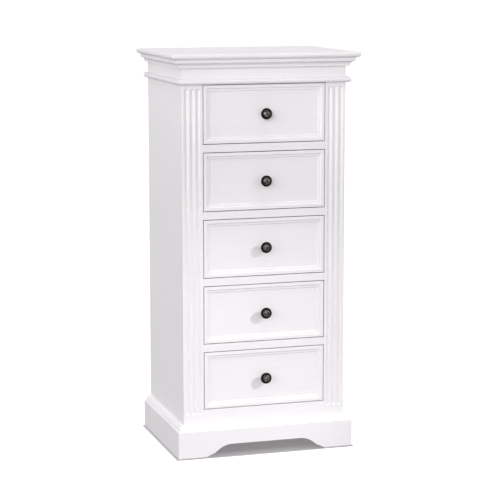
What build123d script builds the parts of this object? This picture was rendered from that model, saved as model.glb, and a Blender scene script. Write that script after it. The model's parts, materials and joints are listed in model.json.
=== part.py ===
"""Tall chest of five drawers, painted, with fluted corner posts, a moulded top and an arched plinth.

Row frame: origin on the floor at the centre of the top board's outline, +X to the right of
someone facing the drawers, +Y to the back, +Z up. Millimetres throughout.
"""
import os

from build123d import *

# ---------------------------------------------------------------- driving dimensions
overall_height = 1200.0
carcass_width = 504.0
carcass_depth = 402.0

top_thickness = 15.0
top_overhang = 36.0          # front and both sides; the top is flush at the back
top_edge_radius = 9.5        # convex edge that rolls under the top board
top_arris = 0.8

cornice_height = 25.0
cornice_projection = 23.0
cornice_fillet_height = 10.0     # flat band under the top board
cornice_foot_projection = 10.0
cornice_foot_height = 2.5
quirk_height = 1.2
quirk_depth = 3.0

frieze_height = 33.0
bead_height = 15.5
bead_projection = 14.0

bottom_rail_show = 43.0      # height seen between the plinth and the lowest drawer
bottom_rail_lap = 38.0       # how far that rail runs down behind the plinth
plinth_height = 83.5
plinth_thickness = 21.0
plinth_cap_radius = 16.5     # quarter round on the plinth's top edge
plinth_arris = 1.2
plinth_foot_bevel = 3.0      # keeps the foot from chipping, and throws a line of shadow on the floor

drawer_count = 5
divider_height = 23.0
stile_width = 63.0
frame_thickness = 22.0
side_thickness = 18.0
arris = 0.8                  # eased edges of the frame and the drawer fronts
corner_arris = 1.5           # eased outer corner of the carcass

tenon_thickness = 8.0
tenon_length = 20.0
tenon_shoulder = 2.5

flute_count = 3
flute_width = 12.0
flute_depth = 4.0
flute_pitch = 17.5
flute_below_opening = 15.0   # the flutes start this far under the lowest drawer
flute_below_bead = 11.5      # and stop this far under the bead

arch_rise = 38.0             # flat part of the plinth's arch, above the floor
arch_lobe_width = 28.0       # the small lobe at each foot, from the post's inner edge
arch_lobe_rise = 13.5
arch_sweep_width = 55.0

bottom_board_thickness = 12.0
housing_depth = 6.0
back_thickness = 6.0
back_inset = 2.0             # the back panel lies this far inside the sides' rear edges
back_rabbet = 9.0
back_foot_clearance = 60.0

runner_lap = 17.0            # how far a runner reaches in under the drawer
guide_height = 20.0
cleat_thickness = 20.0
runner_back_gap = 6.0

drawer_gap = 2.3             # shadow gap round each drawer front
running_clearance = 0.3      # under the drawer sides, and behind them
front_thickness = 20.0
panel_recess = 6.0
border_width = 9.5
first_step_width = 2.0       # the steps are steep, so that they hold a crisp shadow
first_step_depth = 3.8
ledge_width = 6.0
second_step_width = 1.5

drawer_side_thickness = 12.0
drawer_headroom = 20.0       # above the drawer sides
drawer_back_thickness = 12.0
drawer_back_drop = 6.0       # the back stands this much lower than the sides
drawer_back_inset = 8.0
drawer_housing_depth = 4.0
drawer_bottom_thickness = 5.0
drawer_bottom_height = 10.0  # underside of the bottom above the sides' lower edge
drawer_groove_depth = 6.0

tail_count = 4
tail_length = 12.0
tail_flare = 2.0             # wider by this much each side at the end
pin_width = 10.75            # between two tails at their ends

knob_radius = 16.5
knob_foot_radius = 8.5
knob_foot_thickness = 1.8
knob_neck_radius = 5.0
knob_neck_end = 17.0         # distances from the panel
knob_rim_start = 21.5
knob_rim_end = 25.0
knob_dome_start = 26.6
knob_projection = 31.5
knob_dome_radius = 13.2
knob_rim_lip = 14.9
knob_bore_depth = 12.0

screw_radius = 2.0
screw_hole_clearance = 0.25
screw_head_radius = 4.4
screw_head_height = 2.6
screw_slot_width = 1.1
screw_slot_depth = 1.3

back_screw_radius = 1.5
back_screw_length = 24.0
back_screw_head_radius = 3.6
back_screw_head_height = 1.9
back_screws_per_side = 6
back_screws_at_bottom = 3
back_screw_end_margin = 40.0

# ---------------------------------------------------------------- places worked out from them
half_width = carcass_width / 2
overall_depth = carcass_depth + top_overhang
back_y = overall_depth / 2
front_y = back_y - carcass_depth
frame_back_y = front_y + frame_thickness
panel_inner_x = half_width - side_thickness
opening_half = half_width - stile_width
opening_width = 2 * opening_half

plinth_top = plinth_height + plinth_cap_radius
first_opening = plinth_top + bottom_rail_show
top_underside = overall_height - top_thickness
cornice_bottom = top_underside - cornice_height
bead_bottom = cornice_bottom - frieze_height - bead_height
opening_stack = bead_bottom - first_opening
opening_height = (opening_stack - (drawer_count - 1) * divider_height) / drawer_count
opening_pitch = opening_height + divider_height
openings = [first_opening + index * opening_pitch for index in range(drawer_count)]

back_panel_rear = back_y - back_inset
back_panel_front = back_panel_rear - back_thickness
bottom_board_top = first_opening - divider_height
bottom_board_bottom = bottom_board_top - bottom_board_thickness
bottom_rail_bottom = plinth_top - bottom_rail_lap
runner_back_y = back_panel_front - runner_back_gap

drawer_half = opening_half - drawer_gap
front_height = opening_height - 2 * drawer_gap
front_inner_y = front_y + front_thickness
drawer_back_y = back_panel_front - running_clearance
drawer_inner_half = drawer_half - drawer_side_thickness
drawer_side_height = opening_height - running_clearance - drawer_headroom

front_plane = Plane.XZ.offset(-front_y)   # local x is X, local y is Z, normal out of the front

pieces = {}


def board(x_range, y_range, z_range):
    """A plain rectangular board, given its extent along each axis."""
    with BuildPart() as piece:
        with BuildSketch(Plane.XY.offset(z_range[0])):
            with Locations((sum(x_range) / 2, sum(y_range) / 2)):
                Rectangle(x_range[1] - x_range[0], y_range[1] - y_range[0])
        extrude(amount=z_range[1] - z_range[0])
    return piece


def mirrored(piece):
    """The right-hand twin of a left-hand piece."""
    with BuildPart() as twin:
        mirror(piece.part, about=Plane.YZ)
    return twin


# ---------------------------------------------------------------- carcass: posts and rails
# Each rail: height range of the rail between the posts.
rail_ranges = {"bottom_rail": (bottom_rail_bottom, first_opening)}
for index in range(1, drawer_count):
    rail_ranges[f"divider_rail_{index}"] = (openings[index] - divider_height, openings[index])
rail_ranges["frieze_rail"] = (bead_bottom, top_underside)


def tenon(z_range, half_length):
    """Block through the middle of the frame's thickness that makes both tenons of one rail."""
    tenon_front = front_y + (frame_thickness - tenon_thickness) / 2
    return board((-half_length, half_length), (tenon_front, tenon_front + tenon_thickness),
                 (z_range[0] + tenon_shoulder, z_range[1] - tenon_shoulder))


def rail(z_range):
    """Rail between the posts, front edges eased, with a stub tenon at each end."""
    with BuildPart() as piece:
        with BuildSketch(front_plane):
            with Locations((0, sum(z_range) / 2)):
                Rectangle(opening_width, z_range[1] - z_range[0])
        extrude(amount=-frame_thickness)
        front_face = piece.faces().sort_by(Axis.Y)[0]
        fillet(front_face.edges(), radius=arris)
        add(tenon(z_range, opening_half + tenon_length).part)
    return piece


for name, z_range in rail_ranges.items():
    pieces[name] = rail(z_range)

flute_radius = (flute_width ** 2 / 4 + flute_depth ** 2) / (2 * flute_depth)
flute_bottom = first_opening - flute_below_opening
flute_top = bead_bottom - flute_below_bead
flute_straight = flute_top - flute_bottom - flute_width

with BuildPart() as flute_cutter:
    Cylinder(radius=flute_radius, height=flute_straight)
    with Locations((0, 0, flute_straight / 2), (0, 0, -flute_straight / 2)):
        Sphere(radius=flute_radius)

with BuildPart() as stile_left:
    with BuildSketch(front_plane):
        with Locations((-half_width + stile_width / 2, top_underside / 2)):
            Rectangle(stile_width, top_underside)
    extrude(amount=-frame_thickness)
    front_uprights = stile_left.faces().sort_by(Axis.Y)[0].edges().filter_by(Axis.Z).sort_by(Axis.X)
    fillet(front_uprights[-1], radius=arris)
    outer_upright = stile_left.edges().filter_by(Axis.Z).group_by(Axis.Y)[0].sort_by(Axis.X)[0]
    fillet(outer_upright, radius=corner_arris)
    flute_y = front_y - (flute_radius - flute_depth)
    with Locations((-half_width + stile_width / 2, flute_y, (flute_bottom + flute_top) / 2)):
        with GridLocations(flute_pitch, 0, flute_count, 1):
            add(flute_cutter.part, mode=Mode.SUBTRACT)
    for z_range in rail_ranges.values():
        add(tenon(z_range, opening_half + tenon_length).part, mode=Mode.SUBTRACT)

pieces["stile_left"] = stile_left
pieces["stile_right"] = mirrored(stile_left)

# ---------------------------------------------------------------- carcass: panels
lowest_screw = bottom_board_top + back_screw_end_margin
side_screw_pitch = (top_underside - back_screw_end_margin - lowest_screw) / (back_screws_per_side - 1)
screw_heights = [lowest_screw + index * side_screw_pitch for index in range(back_screws_per_side)]
side_screw_x = panel_inner_x + back_rabbet / 2
bottom_screw_pitch = 2 * panel_inner_x / back_screws_at_bottom
bottom_screw_z = (bottom_board_bottom + bottom_board_top) / 2
bottom_screws = [((index - (back_screws_at_bottom - 1) / 2) * bottom_screw_pitch, bottom_screw_z)
                 for index in range(back_screws_at_bottom)]
side_screws = [(side * side_screw_x, height) for side in (-1, 1) for height in screw_heights]
back_screw_places = side_screws + bottom_screws
back_plane = Plane.XZ.offset(-back_panel_rear)   # outer face of the back panel, normal to the front


def back_screw_shanks(radius, length, places):
    """Round rods in from the back panel's outer face, one at each screw."""
    with BuildPart() as rods:
        with BuildSketch(back_plane):
            with Locations(*places):
                Circle(radius)
        extrude(amount=length)
    return rods


with BuildPart() as side_panel_left:
    add(board((-half_width, -panel_inner_x), (frame_back_y, back_y), (0, top_underside)).part)
    add(board((-panel_inner_x - back_rabbet, -panel_inner_x), (back_panel_front, back_y),
              (0, top_underside)).part, mode=Mode.SUBTRACT)
    add(board((-panel_inner_x - housing_depth, -panel_inner_x), (frame_back_y, back_panel_front),
              (bottom_board_bottom, bottom_board_top)).part, mode=Mode.SUBTRACT)
    left_screws = [place for place in side_screws if place[0] < 0]
    add(back_screw_shanks(back_screw_radius, back_screw_length, left_screws).part, mode=Mode.SUBTRACT)

pieces["side_panel_left"] = side_panel_left
pieces["side_panel_right"] = mirrored(side_panel_left)

with BuildPart() as bottom_board:
    board_half = panel_inner_x + housing_depth
    add(board((-board_half, board_half), (frame_back_y, back_panel_front),
              (bottom_board_bottom, bottom_board_top)).part)
    add(back_screw_shanks(back_screw_radius, back_screw_length, bottom_screws).part, mode=Mode.SUBTRACT)
pieces["bottom_board"] = bottom_board

with BuildPart() as back_panel:
    panel_half = panel_inner_x + back_rabbet
    add(board((-panel_half, panel_half), (back_panel_front, back_panel_rear),
              (back_foot_clearance, top_underside)).part)
    add(back_screw_shanks(back_screw_radius, back_thickness, back_screw_places).part, mode=Mode.SUBTRACT)
pieces["back_panel"] = back_panel

with BuildPart() as back_screws:
    add(back_screw_shanks(back_screw_radius, back_screw_length, back_screw_places).part)
    with BuildSketch(back_plane):
        with Locations(*back_screw_places):
            Circle(back_screw_head_radius)
    extrude(amount=-back_screw_head_height)
    head_rims = back_screws.faces().sort_by(Axis.Y)[-len(back_screw_places):].edges()
    fillet(head_rims, radius=back_screw_head_height / 2)
pieces["back_screws"] = back_screws

# ---------------------------------------------------------------- carcass: runners inside
runner_inner_x = opening_half - drawer_gap - runner_lap


def run_along_depth(outline, places):
    """Extrude an outline drawn across the chest, from the frame's back to just short of the back."""
    with BuildPart() as strips:
        with BuildSketch(Plane.XZ.offset(-frame_back_y)):
            with Locations(*places):
                add(outline)
        extrude(amount=frame_back_y - runner_back_y)
        mirror(strips.part, about=Plane.YZ)
    return strips


with BuildSketch() as runner_outline:
    with BuildLine():
        Polyline((-panel_inner_x, -divider_height), (-runner_inner_x, -divider_height),
                 (-runner_inner_x, 0), (-opening_half, 0), (-opening_half, guide_height),
                 (-panel_inner_x, guide_height), close=True)
    make_face()
pieces["drawer_runners"] = run_along_depth(runner_outline.sketch, [(0, height) for height in openings])

with BuildSketch() as cleat_outline:
    with BuildLine():
        cleat_inner_x = panel_inner_x - cleat_thickness
        cleat_height = top_underside - bead_bottom
        Polyline((-panel_inner_x, 0), (-runner_inner_x, 0), (-runner_inner_x, divider_height),
                 (-cleat_inner_x, divider_height), (-cleat_inner_x, cleat_height),
                 (-panel_inner_x, cleat_height), close=True)
    make_face()
pieces["top_cleats"] = run_along_depth(cleat_outline.sketch, [(0, bead_bottom)])

# ---------------------------------------------------------------- top board
with BuildPart() as top_board:
    add(board((-half_width - top_overhang, half_width + top_overhang), (-back_y, back_y),
              (top_underside, overall_height)).part)
    lower_edges = top_board.faces().sort_by(Axis.Z)[0].edges().sort_by(Axis.Y)[:-1]
    fillet(lower_edges, radius=top_edge_radius)
    upper_edges = top_board.faces().sort_by(Axis.Z)[-1].edges().sort_by(Axis.Y)[:-1]
    fillet(upper_edges, radius=top_arris)
pieces["top_board"] = top_board

# ---------------------------------------------------------------- mouldings, mitred at the front corners
# A moulding's outline is drawn with x out from the carcass and y up. The strip planes turn that
# outwards on each side; the mitre planes stand on the carcass corners at 45 degrees.
widest_moulding = max(cornice_projection, bead_projection, plinth_thickness)
strip_starts = {
    "front": Plane(origin=(half_width + widest_moulding, front_y, 0), x_dir=(0, -1, 0), z_dir=(-1, 0, 0)),
    "left": Plane(origin=(-half_width, front_y - widest_moulding, 0), x_dir=(-1, 0, 0), z_dir=(0, 1, 0)),
    "right": Plane(origin=(half_width, back_y, 0), x_dir=(1, 0, 0), z_dir=(0, -1, 0)),
}
strip_lengths = {
    "front": carcass_width + 2 * widest_moulding,
    "left": carcass_depth + widest_moulding,
    "right": carcass_depth + widest_moulding,
}
left_mitre = Plane(origin=(-half_width, front_y, 0), z_dir=(1, -1, 0))
right_mitre = Plane(origin=(half_width, front_y, 0), z_dir=(1, 1, 0))
mitre_cuts = {
    "front": [(left_mitre, Keep.TOP), (right_mitre, Keep.BOTTOM)],
    "left": [(left_mitre, Keep.BOTTOM)],
    "right": [(right_mitre, Keep.TOP)],
}


def moulding(outline, side):
    """One strip of a moulding along the front or a side, with its mitres cut."""
    with BuildPart() as strip:
        with BuildSketch(strip_starts[side]):
            add(outline)
        extrude(amount=strip_lengths[side])
        for mitre_plane, kept in mitre_cuts[side]:
            split(bisect_by=mitre_plane, keep=kept)
    return strip


with BuildSketch() as cornice_outline:
    with BuildLine():
        cove_foot = cornice_bottom + cornice_foot_height
        fillet_bottom = top_underside - cornice_fillet_height
        quirk_bottom = fillet_bottom - quirk_height
        cove_height = quirk_bottom - cove_foot
        cove_top_x = cornice_foot_projection + cove_height
        quirk_x = cornice_projection - quirk_depth
        Polyline((0, top_underside), (0, cornice_bottom), (cornice_foot_projection, cornice_bottom),
                 (cornice_foot_projection, cove_foot))
        CenterArc(center=(cove_top_x, cove_foot), radius=cove_height, start_angle=180, arc_size=-90)
        Polyline((cove_top_x, quirk_bottom), (cove_top_x, quirk_bottom + arris), (quirk_x, quirk_bottom + arris),
                 (quirk_x, fillet_bottom), (cornice_projection, fillet_bottom),
                 (cornice_projection, top_underside), (0, top_underside))
    make_face()

with BuildSketch() as bead_outline:
    with BuildLine():
        nose_radius = bead_height / 2
        nose_x = bead_projection - nose_radius
        Line((0, bead_bottom + bead_height), (0, bead_bottom))
        Line((0, bead_bottom), (nose_x, bead_bottom))
        CenterArc(center=(nose_x, bead_bottom + nose_radius), radius=nose_radius, start_angle=-90,
                  arc_size=180)
        Line((nose_x, bead_bottom + bead_height), (0, bead_bottom + bead_height))
    make_face()

with BuildSketch() as plinth_outline:
    with BuildLine():
        Polyline((0, plinth_top), (0, 0), (plinth_thickness, 0), (plinth_thickness, plinth_height),
                 (plinth_cap_radius, plinth_height))
        CenterArc(center=(0, plinth_height), radius=plinth_cap_radius, start_angle=0, arc_size=90)
    make_face()
    outer_corners = plinth_outline.vertices().group_by(Axis.X)[-1].sort_by(Axis.Y)
    chamfer(outer_corners[0], length=plinth_foot_bevel)
    outer_corner = plinth_outline.vertices().group_by(Axis.X)[-1].sort_by(Axis.Y)[-1]
    fillet(outer_corner, radius=plinth_arris)

for side in strip_starts:
    pieces[f"cornice_{side}"] = moulding(cornice_outline.sketch, side)
    pieces[f"bead_{side}"] = moulding(bead_outline.sketch, side)
    pieces[f"plinth_{side}"] = moulding(plinth_outline.sketch, side)

# The arch in the front plinth: a rounded lobe at each foot, a small cusp, then a sweep up to the flat.
toe_x = opening_half
cusp_x = toe_x - arch_lobe_width
crown_x = cusp_x - arch_sweep_width
with BuildPart() as arched_plinth:
    add(pieces["plinth_front"].part)
    with BuildSketch(front_plane):
        with BuildLine():
            Line((0, arch_rise), (crown_x, arch_rise))
            Spline((crown_x, arch_rise), (cusp_x, arch_lobe_rise), tangents=[(1, 0), (1, -0.9)])
            Spline((cusp_x, arch_lobe_rise), (toe_x, 0), tangents=[(1, -0.3), (1, -0.8)])
            Line((toe_x, 0), (0, 0))
            Line((0, 0), (0, arch_rise))
        make_face()
        mirror(about=Plane.YZ)
    extrude(amount=plinth_thickness, mode=Mode.SUBTRACT)
pieces["plinth_front"] = arched_plinth


# ---------------------------------------------------------------- drawers
def tail_outlines(side_bottom):
    """Dovetail tails on the front end of a drawer side, drawn in Y and Z."""
    with BuildSketch() as tails:
        pitch = drawer_side_height / tail_count
        tip = (pitch - pin_width) / 2
        root = tip - tail_flare
        for index in range(tail_count):
            middle = side_bottom + (index + 0.5) * pitch
            tip_y = front_inner_y - tail_length
            Polygon((front_inner_y, middle - root), (front_inner_y, middle + root),
                    (tip_y, middle + tip), (tip_y, middle - tip), align=None)
    return tails.sketch


def drawer_front(opening_bottom, side_bottom):
    """Drawer front with a moulded, recessed panel, dovetail sockets, a groove and the knob's hole."""
    middle = opening_bottom + opening_height / 2
    width = 2 * drawer_half
    first_inset = border_width + first_step_width
    second_inset = first_inset + ledge_width
    panel_inset = second_inset + second_step_width
    with BuildPart() as front:
        with BuildSketch(front_plane):
            with Locations((0, middle)):
                Rectangle(width, front_height)
        extrude(amount=-front_thickness)
        fillet(front.faces().sort_by(Axis.Y)[0].edges(), radius=arris)
        # Each step is a sloping-sided pocket between a wider outline and a narrower, deeper one.
        for outer, inner, depth, bottom in (
            (border_width, first_inset, 0, first_step_depth),
            (second_inset, panel_inset, first_step_depth, panel_recess),
        ):
            with BuildSketch(front_plane.offset(-depth)):
                with Locations((0, middle)):
                    Rectangle(width - 2 * outer, front_height - 2 * outer)
            with BuildSketch(front_plane.offset(-bottom)):
                with Locations((0, middle)):
                    Rectangle(width - 2 * inner, front_height - 2 * inner)
            loft(mode=Mode.SUBTRACT)
        with BuildSketch(Plane.YZ.offset(-drawer_half)):
            add(tail_outlines(side_bottom))
        extrude(amount=drawer_side_thickness, mode=Mode.SUBTRACT)
        with BuildSketch(Plane.YZ.offset(drawer_inner_half)):
            add(tail_outlines(side_bottom))
        extrude(amount=drawer_side_thickness, mode=Mode.SUBTRACT)
        groove_bottom = side_bottom + drawer_bottom_height
        add(board((-drawer_inner_half, drawer_inner_half),
                  (front_inner_y - drawer_groove_depth, front_inner_y),
                  (groove_bottom, groove_bottom + drawer_bottom_thickness)).part, mode=Mode.SUBTRACT)
        with BuildSketch(front_plane):
            with Locations((0, middle)):
                Circle(screw_radius + screw_hole_clearance)
        extrude(amount=-front_thickness, mode=Mode.SUBTRACT)
    return front


def drawer_side(side_bottom):
    """Left drawer side: dovetails in front, a groove for the bottom and a housing for the back."""
    side_top = side_bottom + drawer_side_height
    groove_bottom = side_bottom + drawer_bottom_height
    groove_top = groove_bottom + drawer_bottom_thickness
    housing_back = drawer_back_y - drawer_back_inset
    with BuildPart() as side:
        with BuildSketch(Plane.YZ.offset(-drawer_half)):
            with Locations(((front_inner_y + drawer_back_y) / 2, (side_bottom + side_top) / 2)):
                Rectangle(drawer_back_y - front_inner_y, drawer_side_height)
            add(tail_outlines(side_bottom))
        extrude(amount=drawer_side_thickness)
        add(board((-drawer_inner_half - drawer_groove_depth, -drawer_inner_half),
                  (front_inner_y - drawer_groove_depth, drawer_back_y),
                  (groove_bottom, groove_top)).part, mode=Mode.SUBTRACT)
        add(board((-drawer_inner_half - drawer_housing_depth, -drawer_inner_half),
                  (housing_back - drawer_back_thickness, housing_back),
                  (groove_top, side_top - drawer_back_drop)).part, mode=Mode.SUBTRACT)
        inner_top_edge = side.edges().filter_by(Axis.Y).group_by(Axis.Z)[-1]
        chamfer(inner_top_edge, length=arris)
    return side


def drawer_back(side_bottom):
    """Drawer back, standing on the bottom board between the housings."""
    foot = side_bottom + drawer_bottom_height + drawer_bottom_thickness
    half = drawer_inner_half + drawer_housing_depth
    housing_back = drawer_back_y - drawer_back_inset
    return board((-half, half), (housing_back - drawer_back_thickness, housing_back),
                 (foot, side_bottom + drawer_side_height - drawer_back_drop))


def drawer_bottom(side_bottom):
    """Thin bottom that slides in from behind, in the grooves and under the back."""
    underside = side_bottom + drawer_bottom_height
    half = drawer_inner_half + drawer_groove_depth
    return board((-half, half), (front_inner_y - drawer_groove_depth, drawer_back_y),
                 (underside, underside + drawer_bottom_thickness))


def turned(outline, middle):
    """Turn an outline, drawn as radius and distance out of the front, about a knob's axis."""
    with BuildPart() as piece:
        with BuildSketch(Plane(origin=(0, front_y, middle), x_dir=(1, 0, 0), z_dir=(0, 0, -1))):
            add(outline)
        revolve(axis=Axis((0, front_y, middle), (0, 1, 0)))
    return piece


# Distances in these two outlines run out from the carcass face; the panel lies behind it.
with BuildSketch() as knob_outline:
    with BuildLine():
        seat = -panel_recess
        neck_start = seat + knob_foot_thickness + 2 * arris
        neck_end = seat + knob_neck_end
        Polyline((0, seat), (knob_foot_radius, seat), (knob_foot_radius, seat + knob_foot_thickness))
        Spline((knob_foot_radius, seat + knob_foot_thickness), (knob_neck_radius, neck_start + 2 * arris),
               tangents=[(-1, 0.2), (-0.2, 1)])
        Line((knob_neck_radius, neck_start + 2 * arris), (knob_neck_radius, neck_end))
        Spline((knob_neck_radius, neck_end), (knob_radius, seat + knob_rim_start), tangents=[(0, 1), (1, 0.4)])
        Spline((knob_radius, seat + knob_rim_start), (knob_radius, seat + knob_rim_end),
               (knob_rim_lip, seat + knob_dome_start), tangents=[(0.3, 1), (-1, 0.2)])
        Line((knob_rim_lip, seat + knob_dome_start), (knob_dome_radius, seat + knob_dome_start - arris))
        Spline((knob_dome_radius, seat + knob_dome_start - arris), (0, seat + knob_projection),
               tangents=[(-0.7, 1), (-1, 0)])
        Line((0, seat + knob_projection), (0, seat))
    make_face()

with BuildSketch() as screw_outline:
    with BuildLine():
        head_seat = -front_thickness
        head_back = head_seat - screw_head_height
        Polyline((0, knob_bore_depth - panel_recess), (screw_radius, knob_bore_depth - panel_recess),
                 (screw_radius, head_seat), (screw_head_radius, head_seat))
        Spline((screw_head_radius, head_seat), (0, head_back), tangents=[(0, -1), (-1, 0)])
        Line((0, head_back), (0, knob_bore_depth - panel_recess))
    make_face()


def knob(middle):
    """Round mushroom knob with a blind threaded hole for its screw."""
    with BuildPart() as piece:
        add(turned(knob_outline.sketch, middle).part)
        with BuildSketch(front_plane.offset(-panel_recess)):
            with Locations((0, middle)):
                Circle(screw_radius)
        extrude(amount=knob_bore_depth, mode=Mode.SUBTRACT)
    return piece


def knob_screw(middle):
    """Cross-headed machine screw from inside the drawer into the knob."""
    with BuildPart() as piece:
        add(turned(screw_outline.sketch, middle).part)
        head_plane = front_plane.offset(-front_thickness - screw_head_height)
        with BuildSketch(head_plane):
            with Locations((0, middle)):
                Rectangle(2 * screw_radius + screw_slot_width, screw_slot_width)
                Rectangle(screw_slot_width, 2 * screw_radius + screw_slot_width)
        extrude(amount=screw_slot_depth, mode=Mode.SUBTRACT)
    return piece


# Drawer 1 is the lowest.
for number, opening_bottom in enumerate(openings, start=1):
    side_bottom = opening_bottom + running_clearance
    knob_z = opening_bottom + opening_height / 2
    left_side = drawer_side(side_bottom)
    pieces[f"drawer_{number}_front"] = drawer_front(opening_bottom, side_bottom)
    pieces[f"drawer_{number}_side_left"] = left_side
    pieces[f"drawer_{number}_side_right"] = mirrored(left_side)
    pieces[f"drawer_{number}_back"] = drawer_back(side_bottom)
    pieces[f"drawer_{number}_bottom"] = drawer_bottom(side_bottom)
    pieces[f"drawer_{number}_knob"] = knob(knob_z)
    pieces[f"drawer_{number}_knob_screw"] = knob_screw(knob_z)

# ---------------------------------------------------------------- one file per piece
os.makedirs("parts", exist_ok=True)
for name, piece in pieces.items():
    piece.part.label = name
    export_step(piece.part, f"parts/{name}.step")
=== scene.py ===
"""Tall painted chest of drawers: the finishes of its pieces, and the studio it stands in."""
import json
import math

import bpy
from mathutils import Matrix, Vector


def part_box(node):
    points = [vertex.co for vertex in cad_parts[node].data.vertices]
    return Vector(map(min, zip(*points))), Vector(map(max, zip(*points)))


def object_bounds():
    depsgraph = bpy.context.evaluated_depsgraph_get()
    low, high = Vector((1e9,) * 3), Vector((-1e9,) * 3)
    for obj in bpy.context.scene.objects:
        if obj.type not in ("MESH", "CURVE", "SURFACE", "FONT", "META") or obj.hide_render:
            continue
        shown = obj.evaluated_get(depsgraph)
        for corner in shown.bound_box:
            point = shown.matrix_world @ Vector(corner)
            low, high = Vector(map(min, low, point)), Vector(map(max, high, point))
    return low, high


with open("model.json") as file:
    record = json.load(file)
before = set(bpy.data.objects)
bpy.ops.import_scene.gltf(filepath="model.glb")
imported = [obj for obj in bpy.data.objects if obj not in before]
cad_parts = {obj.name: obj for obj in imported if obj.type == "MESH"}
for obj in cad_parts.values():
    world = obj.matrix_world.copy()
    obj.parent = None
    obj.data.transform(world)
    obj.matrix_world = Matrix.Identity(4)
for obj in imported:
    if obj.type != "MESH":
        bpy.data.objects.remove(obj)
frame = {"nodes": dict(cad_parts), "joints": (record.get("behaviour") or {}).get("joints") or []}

cad_low, cad_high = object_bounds()


# ---------------------------------------------------------------- camera
# The eye stands to the chest's left and a little above its middle, and looks slightly down
# through a long portrait lens, so that the front, the left side and a sliver of the top show.
view_azimuth = math.radians(-17.27)
view_elevation = math.radians(9.15)
view_distance = 5.437
aim = (cad_low + cad_high) / 2 + Vector((0.0115, 0.0, -0.0114))

toward_eye = Vector((math.sin(view_azimuth) * math.cos(view_elevation),
                     -math.cos(view_azimuth) * math.cos(view_elevation),
                     math.sin(view_elevation)))
lens_data = bpy.data.cameras.new("camera")
lens_data.sensor_width = 36.0
lens_data.lens = 127.3
camera = bpy.data.objects.new("camera", lens_data)
bpy.context.scene.collection.objects.link(camera)
camera.location = aim + toward_eye * view_distance
camera.rotation_euler = (-toward_eye).to_track_quat("-Z", "Y").to_euler()
bpy.context.scene.camera = camera


# ---------------------------------------------------------------- studio floor
# A wide sheet of matt white studio vinyl, over-exposed until only its faintest shadows are left.
# It throws light back up as a grey floor would, so that the undersides of the mouldings stay dark.
def linear(hex_colour):
    """Linear RGBA of an sRGB hex colour."""
    channels = [int(hex_colour[place:place + 2], 16) / 255 for place in (1, 3, 5)]
    return tuple(c / 12.92 if c <= 0.04045 else ((c + 0.055) / 1.055) ** 2.4 for c in channels) + (1.0,)


def add_node(tree, kind, inputs=None, **settings):
    """Add one shader node. Settings are its own properties; inputs are values, or the sockets that feed
    it, by the input's name or number, or by its identifier where several inputs share a name."""
    made = tree.nodes.new(kind)
    for setting, value in settings.items():
        setattr(made, setting, value)
    by_identifier = {socket.identifier: socket for socket in made.inputs}
    for key, value in (inputs or {}).items():
        socket = by_identifier[key] if key in by_identifier else made.inputs[key]
        if isinstance(value, bpy.types.NodeSocket):
            tree.links.new(value, socket)
        else:
            socket.default_value = value
    return made


def new_material(name):
    """An empty node material and its tree."""
    material = bpy.data.materials.new(name)
    material.use_nodes = True
    material.node_tree.nodes.clear()
    return material, material.node_tree


def colour_stops(ramp_node, stops):
    """Set a colour ramp's stops, given as position and hex colour."""
    ramp = ramp_node.color_ramp
    while len(ramp.elements) < len(stops):
        ramp.elements.new(1.0)
    for element, (position, hex_colour) in zip(ramp.elements, stops):
        element.position = position
        element.color = linear(hex_colour)


vinyl, tree = new_material("matt white studio vinyl")
place = add_node(tree, "ShaderNodeTexCoord")
# The vinyl's white drifts a little, in patches a third of a metre across.
mottle = add_node(tree, "ShaderNodeTexNoise", {
    "Vector": place.outputs["Object"], "Scale": 1000 / 333, "Detail": 3.0})
shade = add_node(tree, "ShaderNodeValToRGB", {"Fac": mottle.outputs["Fac"]})
colour_stops(shade, [(0.3, "#F5F4F5"), (0.7, "#FBFAFB")])
# Painted shadow: a flat grey patch on the sheet under the chest and 7 mm round its foot, where the chest
# shades the floor.
shade_patch_margin = Vector((0.007, 0.007, 0.0))
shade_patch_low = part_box("plinth_left")[0] - shade_patch_margin
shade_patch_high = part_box("plinth_right")[1] + shade_patch_margin
ground = add_node(tree, "ShaderNodeSeparateXYZ", {"Vector": place.outputs["Object"]})
inside_x, inside_y = [
    add_node(tree, "ShaderNodeMath", {
        0: ground.outputs[axis], 1: (low + high) / 2, 2: (high - low) / 2}, operation="COMPARE")
    for axis, low, high in zip("XY", shade_patch_low, shade_patch_high)]
# The mask of the painted shadow patch under the chest.
region_mask = add_node(tree, "ShaderNodeMath", {
    0: inside_x.outputs["Value"], 1: inside_y.outputs["Value"]}, operation="MULTIPLY")
# White only where the eye meets the sheet outside the painted shadow; grey in the painted shadow and for
# light that bounces.
ray = add_node(tree, "ShaderNodeLightPath")
sheet = add_node(tree, "ShaderNodeMath", {0: ray.outputs["Is Camera Ray"], 1: region_mask.outputs["Value"]},
                 operation="SUBTRACT", use_clamp=True)
# A mix node gives its number on its first output and its colour on its third.
number_out, colour_out = 0, 2
# Grey #959395 is the painted shadow under the chest, and the colour that bounced light takes.
colour = add_node(tree, "ShaderNodeMix", {
    "Factor_Float": sheet.outputs["Value"], "A_Color": linear("#959395"),
    "B_Color": shade.outputs["Color"]}, data_type="RGBA")
# The over-exposure: a glow that only the eye sees, a little weaker in the painted shadow under the chest.
lift = add_node(tree, "ShaderNodeMix", {
    "Factor_Float": region_mask.outputs["Value"], "A_Float": 0.30, "B_Float": 0.24}, data_type="FLOAT")
glow = add_node(tree, "ShaderNodeMath", {
    0: ray.outputs["Is Camera Ray"], 1: lift.outputs[number_out]}, operation="MULTIPLY")
matt = add_node(tree, "ShaderNodeBsdfPrincipled", {
    "Base Color": colour.outputs[colour_out], "Roughness": 0.9, "Specular IOR Level": 0.1,
    "Emission Color": linear("#FFFAFF"), "Emission Strength": glow.outputs["Value"]})
add_node(tree, "ShaderNodeOutputMaterial", {"Surface": matt.outputs["BSDF"]})

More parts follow.
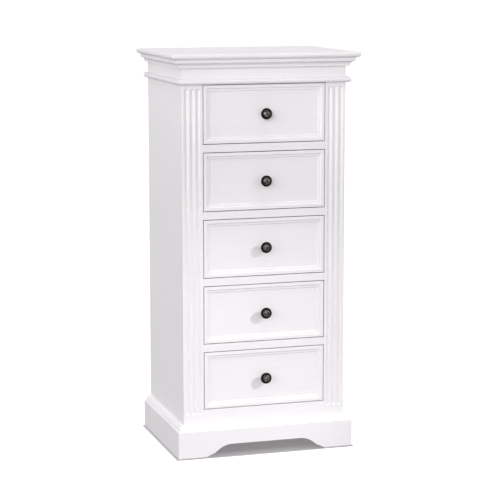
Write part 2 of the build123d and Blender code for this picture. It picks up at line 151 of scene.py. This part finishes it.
sweep_half = 14.0
sweep_mesh = bpy.data.meshes.new("studio_floor")
sweep_mesh.from_pydata([(-sweep_half, -sweep_half, 0), (sweep_half, -sweep_half, 0),
                        (sweep_half, sweep_half, 0), (-sweep_half, sweep_half, 0)], [], [(0, 1, 2, 3)])
sweep = bpy.data.objects.new("studio_floor", sweep_mesh)
sweep.data.materials.append(vinyl)
bpy.context.scene.collection.objects.link(sweep)


# ---------------------------------------------------------------- studio light
# Wide banks of light above and all round the front, drawn as very soft suns; two snooted lamps that
# throw crisp shadows, at the right on the lower drawers and at the left on the upper; and a low one
# that lifts the plinth.
def hang_light(name, kind, position, target, **settings):
    """Place one lamp at a position, pointing at a target."""
    data = bpy.data.lights.new(name, kind)
    for setting, value in settings.items():
        setattr(data, setting, value)
    lamp = bpy.data.objects.new(name, data)
    lamp.location = position
    lamp.rotation_euler = (Vector(target) - Vector(position)).to_track_quat("-Z", "Y").to_euler()
    bpy.context.scene.collection.objects.link(lamp)


bank_angle = math.radians(60)
hang_light("bank_overhead", "SUN", (0, 0, 4), (0, 0, 0), energy=2.38, angle=bank_angle)
hang_light("bank_front", "SUN", (0, -4, 0.7), (0, 0, 0), energy=0.46, angle=bank_angle)
hang_light("bank_front_left", "SUN", (-2.5, -3, 1), (0, 0, 0), energy=1.32, angle=bank_angle)
hang_light("bank_left", "SUN", (-4, -0.7, 1), (0, 0, 0), energy=1.02, angle=bank_angle)
hang_light("bank_right", "SUN", (4, -1, 1.5), (0, 0, 0), energy=0.12, angle=bank_angle)
hang_light("lamp_right", "SPOT", (1.8, -2.08, 1.83), (-0.65, -0.18, -0.08),
           energy=188, shadow_soft_size=0.04, spot_size=math.radians(30), spot_blend=1.0)
hang_light("lamp_left", "SPOT", (-2.4, -4.2, 2.3), (0.0, -0.2, 1.3),
           energy=204, shadow_soft_size=0.12, spot_size=math.radians(14), spot_blend=1.0)
hang_light("lamp_low", "SPOT", (1.0, -4, 0.6), (0.25, -0.2, -0.1),
           energy=130, shadow_soft_size=0.3, spot_size=math.radians(8), spot_blend=1.0)

# The room looks over-exposed white; the light it gives is white at the horizon and dim above it.
world = bpy.data.worlds.new("white_room")
world.use_nodes = True
bpy.context.scene.world = world
tree = world.node_tree
tree.nodes.clear()
sky = add_node(tree, "ShaderNodeTexCoord")
toward = add_node(tree, "ShaderNodeSeparateXYZ", {"Vector": sky.outputs["Generated"]})
glow = add_node(tree, "ShaderNodeMapRange", {
    "Value": toward.outputs["Z"], "From Min": 0.0, "From Max": 0.2, "To Min": 0.78, "To Max": 0.145})
ray = add_node(tree, "ShaderNodeLightPath")
shown = add_node(tree, "ShaderNodeMix", {
    "Factor_Float": ray.outputs["Is Camera Ray"], "A_Float": glow.outputs["Result"], "B_Float": 1.06},
    data_type="FLOAT")
room = add_node(tree, "ShaderNodeBackground", {
    "Color": linear("#FFFFFF"), "Strength": shown.outputs[number_out]})
add_node(tree, "ShaderNodeOutputWorld", {"Surface": room.outputs["Background"]})
bpy.context.scene.view_settings.view_transform = "Standard"


# ---------------------------------------------------------------- side panels
# Planed beech boards, glued up wide, sprayed and brushed out in satin white lacquer outside and
# left bare inside. The lacquer is a soft even white with a faint drag of the brush along the grain.
def repeats(along, length, width):
    """Repeats per metre on X, Y and Z of a pattern drawn out along one axis, from its size in mm."""
    return [1000 / (length if axis == along else width) for axis in "XYZ"]


def beech_figure(tree, along):
    """Planed beech: sockets for its colour, its surface height in mm and its roughness."""
    place = add_node(tree, "ShaderNodeTexCoord")
    piece = add_node(tree, "ShaderNodeObjectInfo")
    # Each board comes from another place in the timber, up to 3 m along it.
    shift = add_node(tree, "ShaderNodeMath", {0: piece.outputs["Random"], 1: 3.0}, operation="MULTIPLY")
    plank = add_node(tree, "ShaderNodeVectorMath", {0: place.outputs["Object"], 1: shift.outputs["Value"]},
                     operation="ADD")
    # Growth rings cut lengthwise: bands 9 mm wide that wander over about 300 mm.
    ring_place = add_node(tree, "ShaderNodeMapping", {
        "Vector": plank.outputs["Vector"], "Scale": repeats(along, 300, 9)})
    rings = add_node(tree, "ShaderNodeTexNoise", {
        "Vector": ring_place.outputs["Vector"], "Scale": 1.0, "Detail": 4.0, "Distortion": 0.5})
    colour = add_node(tree, "ShaderNodeValToRGB", {"Fac": rings.outputs["Fac"]})
    colour_stops(colour, [(0.28, "#C09A6B"), (0.45, "#D2AF80"), (0.58, "#DEBF93"), (0.75, "#CDA876")])
    # Beech's ray flecks are 2 mm by 0.3 mm, drawn 7 mm by 1 mm so that they show.
    fleck_place = add_node(tree, "ShaderNodeMapping", {
        "Vector": plank.outputs["Vector"], "Scale": repeats(along, 7, 1)})
    flecks = add_node(tree, "ShaderNodeTexNoise", {
        "Vector": fleck_place.outputs["Vector"], "Scale": 1.0, "Detail": 1.0})
    fleck_amount = add_node(tree, "ShaderNodeMapRange", {
        "Value": flecks.outputs["Fac"], "From Min": 0.60, "From Max": 0.72, "To Min": 0.0, "To Max": 0.45})
    flecked = add_node(tree, "ShaderNodeMix", {
        "Factor_Float": fleck_amount.outputs["Result"], "A_Color": colour.outputs["Color"],
        "B_Color": linear("#A67C4E")}, data_type="RGBA")
    # Board to board, beech runs from pale to pinkish tan.
    tone = add_node(tree, "ShaderNodeMapRange", {
        "Value": piece.outputs["Random"], "To Min": 0.88, "To Max": 1.08})
    toned = add_node(tree, "ShaderNodeHueSaturation", {
        "Color": flecked.outputs[colour_out], "Value": tone.outputs["Result"]})
    roughness = add_node(tree, "ShaderNodeMapRange", {
        "Value": rings.outputs["Fac"], "From Min": 0.3, "From Max": 0.7, "To Min": 0.46, "To Max": 0.60})
    height = add_node(tree, "ShaderNodeMath", {0: flecks.outputs["Fac"], 1: 0.06}, operation="MULTIPLY")
    return toned.outputs["Color"], height.outputs["Value"], roughness.outputs["Result"]


def white_lacquer(name, along, bare_side=None):
    """Satin white lacquer on beech, brushed along one axis, with an optional bare side."""
    material, tree = new_material(name)
    place = add_node(tree, "ShaderNodeTexCoord")
    # Bristle marks are under 1 mm wide; drawn 4 mm wide and 180 mm long, so that they show.
    stroke_place = add_node(tree, "ShaderNodeMapping", {
        "Vector": place.outputs["Object"], "Scale": repeats(along, 180, 4)})
    strokes = add_node(tree, "ShaderNodeTexNoise", {
        "Vector": stroke_place.outputs["Vector"], "Scale": 1.0, "Detail": 3.0, "Roughness": 0.6})
    # Orange peel from the spray gun, cells 3 mm across.
    peel = add_node(tree, "ShaderNodeTexNoise", {
        "Vector": place.outputs["Object"], "Scale": 1000 / 3, "Detail": 1.0})
    # The coat's thickness drifts over about 250 mm, and its white with it.
    drift = add_node(tree, "ShaderNodeTexNoise", {
        "Vector": place.outputs["Object"], "Scale": 1000 / 250, "Detail": 2.0})
    laid = add_node(tree, "ShaderNodeMath", {0: strokes.outputs["Fac"], 1: drift.outputs["Fac"]},
                    operation="ADD")
    thin_coat, full_coat = 0.7, 1.3
    evened = add_node(tree, "ShaderNodeMapRange", {
        "Value": laid.outputs["Value"], "From Min": thin_coat, "From Max": full_coat})
    white = add_node(tree, "ShaderNodeValToRGB", {"Fac": evened.outputs["Result"]})
    colour_stops(white, [(0.0, "#EDEAED"), (0.5, "#EFECEF"), (1.0, "#F1EEF0")])
    sheen = add_node(tree, "ShaderNodeMapRange", {
        "Value": laid.outputs["Value"], "From Min": thin_coat, "From Max": full_coat,
        "To Min": 0.46, "To Max": 0.36})
    # Heights are in millimetres: the strokes stand 0.02 mm proud and the peel 0.01 mm.
    stroke_height = add_node(tree, "ShaderNodeMath", {0: strokes.outputs["Fac"], 1: 0.02},
                             operation="MULTIPLY")
    height = add_node(tree, "ShaderNodeMath", {
        0: peel.outputs["Fac"], 1: 0.01, 2: stroke_height.outputs["Value"]}, operation="MULTIPLY_ADD")
    colour = white.outputs["Color"]
    roughness = sheen.outputs["Result"]
    relief = height.outputs["Value"]
    if bare_side:
        # The side turned into the carcass is bare beech, with a ragged edge of overspray.
        bare_colour, bare_height, bare_roughness = beech_figure(tree, along)
        facing = add_node(tree, "ShaderNodeVectorMath", {0: place.outputs["Normal"], 1: bare_side},
                          operation="DOT_PRODUCT")
        region_mask = add_node(tree, "ShaderNodeMapRange", {
            "Value": facing.outputs["Value"], "From Min": 0.75, "From Max": 0.95})
        share = region_mask.outputs["Result"]
        colour = add_node(tree, "ShaderNodeMix", {
            "Factor_Float": share, "A_Color": colour, "B_Color": bare_colour},
            data_type="RGBA").outputs[colour_out]
        roughness, relief = [
            add_node(tree, "ShaderNodeMix", {
                "Factor_Float": share, "A_Float": painted, "B_Float": unpainted},
                data_type="FLOAT").outputs[number_out]
            for painted, unpainted in ((roughness, bare_roughness), (relief, bare_height))]
    bump = add_node(tree, "ShaderNodeBump", {"Height": relief, "Distance": 0.001, "Strength": 1.0})
    paint = add_node(tree, "ShaderNodeBsdfPrincipled", {
        "Base Color": colour, "Roughness": roughness, "Normal": bump.outputs["Normal"], "IOR": 1.5})
    add_node(tree, "ShaderNodeOutputMaterial", {"Surface": paint.outputs["BSDF"]})
    return material


nodes = frame["nodes"]


def finish_node(name, material):
    """Give a CAD node its one finish."""
    nodes[name].data.materials.clear()
    nodes[name].data.materials.append(material)


finish_node("side_panel_left", white_lacquer("satin white lacquer on beech, left side", "Z", (1, 0, 0)))
finish_node("side_panel_right", white_lacquer("satin white lacquer on beech, right side", "Z", (-1, 0, 0)))


# ---------------------------------------------------------------- corner posts and rails
# Beech posts, fluted on a router, and the rails that are tenoned between them: lacquered on the
# front and the edges and bare behind, with the brush drawn up the posts and along the rails.
upright_front = white_lacquer("satin white lacquer on beech, brushed up the posts", "Z", (0, 1, 0))
level_front = white_lacquer("satin white lacquer on beech, brushed along the front", "X", (0, 1, 0))
for name in ("stile_left", "stile_right"):
    finish_node(name, upright_front)
for name in nodes:
    if name.endswith("_rail") or name.startswith("divider_rail_"):
        finish_node(name, level_front)


# ---------------------------------------------------------------- bottom board, runners and cleats
# Planed beech boards under one thin clear coat, which leaves the wood pale, warm and nearly matt.
# The bottom is housed in the sides; the strips and cleats are glued and screwed on inside.
def clear_beech(name, along):
    """Planed beech under one thin clear coat."""
    material, tree = new_material(name)
    colour, height, roughness = beech_figure(tree, along)
    bump = add_node(tree, "ShaderNodeBump", {"Height": height, "Distance": 0.001, "Strength": 1.0})
    wood = add_node(tree, "ShaderNodeBsdfPrincipled", {
        "Base Color": colour, "Roughness": roughness, "Normal": bump.outputs["Normal"], "IOR": 1.5})
    add_node(tree, "ShaderNodeOutputMaterial", {"Surface": wood.outputs["BSDF"]})
    return material


beech_across = clear_beech("planed beech, grain across the chest", "X")
beech_deep = clear_beech("planed beech, grain front to back", "Y")
finish_node("bottom_board", beech_across)
finish_node("drawer_runners", beech_deep)
finish_node("top_cleats", beech_deep)


# ---------------------------------------------------------------- back panel and its screws
# Birch plywood, sanded, with thin cross-banded layers that show as stripes on its edges, held by
# zinc-plated screws. Plywood is paler and flatter than beech, with long loose peeled figure.
def birch_plywood(name, along, thickness_axis):
    """Sanded birch plywood: face figure along one axis, layers stacked along another."""
    material, tree = new_material(name)
    place = add_node(tree, "ShaderNodeTexCoord")
    figure_place = add_node(tree, "ShaderNodeMapping", {
        "Vector": place.outputs["Object"], "Scale": repeats(along, 420, 38)})
    figure = add_node(tree, "ShaderNodeTexNoise", {
        "Vector": figure_place.outputs["Vector"], "Scale": 1.0, "Detail": 5.0, "Distortion": 1.2})
    face = add_node(tree, "ShaderNodeValToRGB", {"Fac": figure.outputs["Fac"]})
    colour_stops(face, [(0.30, "#CFAE7E"), (0.48, "#DCC093"), (0.56, "#E5CDA5"), (0.72, "#D8BB8C")])
    # Layers 1.25 mm thick, every other one turned to show its darker end grain: one repeat is two
    # layers, and at a scale of 1 the wave's bands repeat every tau / 20 of a metre.
    layers_per_metre = 1000 / 1.25
    layers = add_node(tree, "ShaderNodeTexWave", {
        "Vector": place.outputs["Object"], "Scale": math.tau / 20 * layers_per_metre / 2},
        wave_type="BANDS", bands_direction=thickness_axis)
    edge = add_node(tree, "ShaderNodeValToRGB", {"Fac": layers.outputs["Fac"]})
    colour_stops(edge, [(0.40, "#9C7447"), (0.60, "#D9BC8C")])
    across = [1.0 if axis == thickness_axis else 0.0 for axis in "XYZ"]
    facing = add_node(tree, "ShaderNodeVectorMath", {0: place.outputs["Normal"], 1: across},
                      operation="DOT_PRODUCT")
    flat = add_node(tree, "ShaderNodeMath", {0: facing.outputs["Value"]}, operation="ABSOLUTE")
    colour = add_node(tree, "ShaderNodeMix", {
        "Factor_Float": flat.outputs["Value"], "A_Color": edge.outputs["Color"],
        "B_Color": face.outputs["Color"]}, data_type="RGBA")
    # Sanding scratches are 0.1 mm wide; drawn 1.5 mm wide and 60 mm long, so that they show.
    scratch_place = add_node(tree, "ShaderNodeMapping", {
        "Vector": place.outputs["Object"], "Scale": repeats(along, 60, 1.5)})
    scratches = add_node(tree, "ShaderNodeTexNoise", {
        "Vector": scratch_place.outputs["Vector"], "Scale": 1.0, "Detail": 2.0})
    roughness = add_node(tree, "ShaderNodeMapRange", {
        "Value": scratches.outputs["Fac"], "From Min": 0.3, "From Max": 0.7,
        "To Min": 0.55, "To Max": 0.68})
    height = add_node(tree, "ShaderNodeMath", {0: scratches.outputs["Fac"], 1: 0.05}, operation="MULTIPLY")
    bump = add_node(tree, "ShaderNodeBump", {
        "Height": height.outputs["Value"], "Distance": 0.001, "Strength": 1.0})
    wood = add_node(tree, "ShaderNodeBsdfPrincipled", {
        "Base Color": colour.outputs[colour_out], "Roughness": roughness.outputs["Result"],
        "Normal": bump.outputs["Normal"], "IOR": 1.5})
    add_node(tree, "ShaderNodeOutputMaterial", {"Surface": wood.outputs["BSDF"]})
    return material


finish_node("back_panel", birch_plywood("sanded birch plywood, upright", "Z", "Y"))

zinc, tree = new_material("bright zinc plate on steel")
place = add_node(tree, "ShaderNodeTexCoord")
# The plate is a bright cool grey, dulled by handling in patches 0.8 mm across.
patches = add_node(tree, "ShaderNodeTexNoise", {
    "Vector": place.outputs["Object"], "Scale": 1000 / 0.8, "Detail": 3.0})
plate = add_node(tree, "ShaderNodeValToRGB", {"Fac": patches.outputs["Fac"]})
colour_stops(plate, [(0.35, "#A9ABAD"), (0.65, "#C6C8C8")])
dulling = add_node(tree, "ShaderNodeMapRange", {
    "Value": patches.outputs["Fac"], "From Min": 0.3, "From Max": 0.7, "To Min": 0.25, "To Max": 0.42})
plated = add_node(tree, "ShaderNodeBsdfPrincipled", {
    "Base Color": plate.outputs["Color"], "Metallic": 1.0, "Roughness": dulling.outputs["Result"]})
add_node(tree, "ShaderNodeOutputMaterial", {"Surface": plated.outputs["BSDF"]})
finish_node("back_screws", zinc)


# ---------------------------------------------------------------- top, cornice and bead
# A beech top with a rolled lower edge, over a run cove moulding and a half-round bead, mitred at
# the front corners and pinned. All lacquered, with the brush drawn along each length.
level_all_round = white_lacquer("satin white lacquer on beech, brushed across", "X")
deep_all_round = white_lacquer("satin white lacquer on beech, brushed front to back", "Y")
for name in ("top_board", "cornice_front", "bead_front"):
    finish_node(name, level_all_round)
for name in ("cornice_left", "cornice_right", "bead_left", "bead_right"):
    finish_node(name, deep_all_round)


# ---------------------------------------------------------------- plinth
# Beech boards with a quarter-round top edge, mitred and glued round the foot of the carcass, the
# front one sawn to an arch. Lacquered all round, so that no bare wood shows through the arch.
finish_node("plinth_front", level_all_round)
for name in ("plinth_left", "plinth_right"):
    finish_node(name, deep_all_round)


# ---------------------------------------------------------------- drawer boxes
# Beech sides dovetailed into the front and housed for the back, round a thin birch plywood bottom.
# The fronts are lacquered like the frame and bare inside.
drawer_plywood = birch_plywood("sanded birch plywood, laid flat", "X", "Z")
drawer_numbers = range(1, len(frame["joints"]) + 1)
for number in drawer_numbers:
    finish_node(f"drawer_{number}_front", level_front)
    finish_node(f"drawer_{number}_side_left", beech_deep)
    finish_node(f"drawer_{number}_side_right", beech_deep)
    finish_node(f"drawer_{number}_back", beech_across)
    finish_node(f"drawer_{number}_bottom", drawer_plywood)
    finish_node(f"drawer_{number}_knob_screw", zinc)


# ---------------------------------------------------------------- knobs
# Turned brass mushroom knobs, darkened to oil-rubbed bronze. The chemical brown-black is deepest in
# the groove and on the rim; the crown's mottled warm grey is partly rubbing where fingers reach it and
# partly painted highlights of the bright studio in the metal.
bronze, tree = new_material("oil-rubbed bronze on turned brass")
place = add_node(tree, "ShaderNodeTexCoord")
centred = add_node(tree, "ShaderNodeVectorMath", {0: place.outputs["Generated"], 1: (0.5, 0.0, 0.5)},
                   operation="SUBTRACT")
flattened = add_node(tree, "ShaderNodeVectorMath", {0: centred.outputs["Vector"], 1: (2.0, 0.0, 2.0)},
                     operation="MULTIPLY")
radius = add_node(tree, "ShaderNodeVectorMath", {0: flattened.outputs["Vector"]}, operation="LENGTH")
# The crown is lightly hammered, in dimples 6 mm across and 0.3 mm deep, with pits 0.8 mm across.
dimples = add_node(tree, "ShaderNodeTexNoise", {
    "Vector": place.outputs["Object"], "Scale": 1000 / 6, "Detail": 2.0, "Roughness": 0.6})
pits = add_node(tree, "ShaderNodeTexNoise", {
    "Vector": place.outputs["Object"], "Scale": 1000 / 0.8, "Detail": 1.0})
# The rubbing and its painted highlights fade out towards the rim, and the dimples leave the edge ragged.
rubbed_and_highlit_edge = add_node(tree, "ShaderNodeMath", {
    0: dimples.outputs["Fac"], 1: 0.5, 2: radius.outputs["Value"]}, operation="MULTIPLY_ADD")
rubbed_and_highlit = add_node(tree, "ShaderNodeMapRange", {
    "Value": rubbed_and_highlit_edge.outputs["Value"], "From Min": 1.02, "From Max": 0.70,
    "To Min": 0.0, "To Max": 1.0})
# Painted highlights and rubbing: the crown's pale patches stand partly for reflections of the studio in
# the metal.
crown_wear_and_highlights = add_node(tree, "ShaderNodeValToRGB", {"Fac": dimples.outputs["Fac"]})
colour_stops(crown_wear_and_highlights, [(0.38, "#322D2B"), (0.50, "#5E5854"), (0.64, "#9A948F")])
colour = add_node(tree, "ShaderNodeMix", {
    "Factor_Float": rubbed_and_highlit.outputs["Result"], "A_Color": linear("#15110F"),
    "B_Color": crown_wear_and_highlights.outputs["Color"]}, data_type="RGBA")
wear = add_node(tree, "ShaderNodeMapRange", {
    "Value": dimples.outputs["Fac"], "From Min": 0.3, "From Max": 0.7, "To Min": 0.52, "To Max": 0.34})
hammered = add_node(tree, "ShaderNodeMath", {0: dimples.outputs["Fac"], 1: 0.3}, operation="MULTIPLY")
relief = add_node(tree, "ShaderNodeMath", {
    0: pits.outputs["Fac"], 1: 0.05, 2: hammered.outputs["Value"]}, operation="MULTIPLY_ADD")
bump = add_node(tree, "ShaderNodeBump", {
    "Height": relief.outputs["Value"], "Distance": 0.001, "Strength": 1.0})
# The patina is a thin skin over the brass, so the surface is a little less than all metal.
metal = add_node(tree, "ShaderNodeBsdfPrincipled", {
    "Base Color": colour.outputs[colour_out], "Metallic": 0.85, "Roughness": wear.outputs["Result"],
    "Normal": bump.outputs["Normal"]})
add_node(tree, "ShaderNodeOutputMaterial", {"Surface": metal.outputs["BSDF"]})
for number in drawer_numbers:
    finish_node(f"drawer_{number}_knob", bronze)
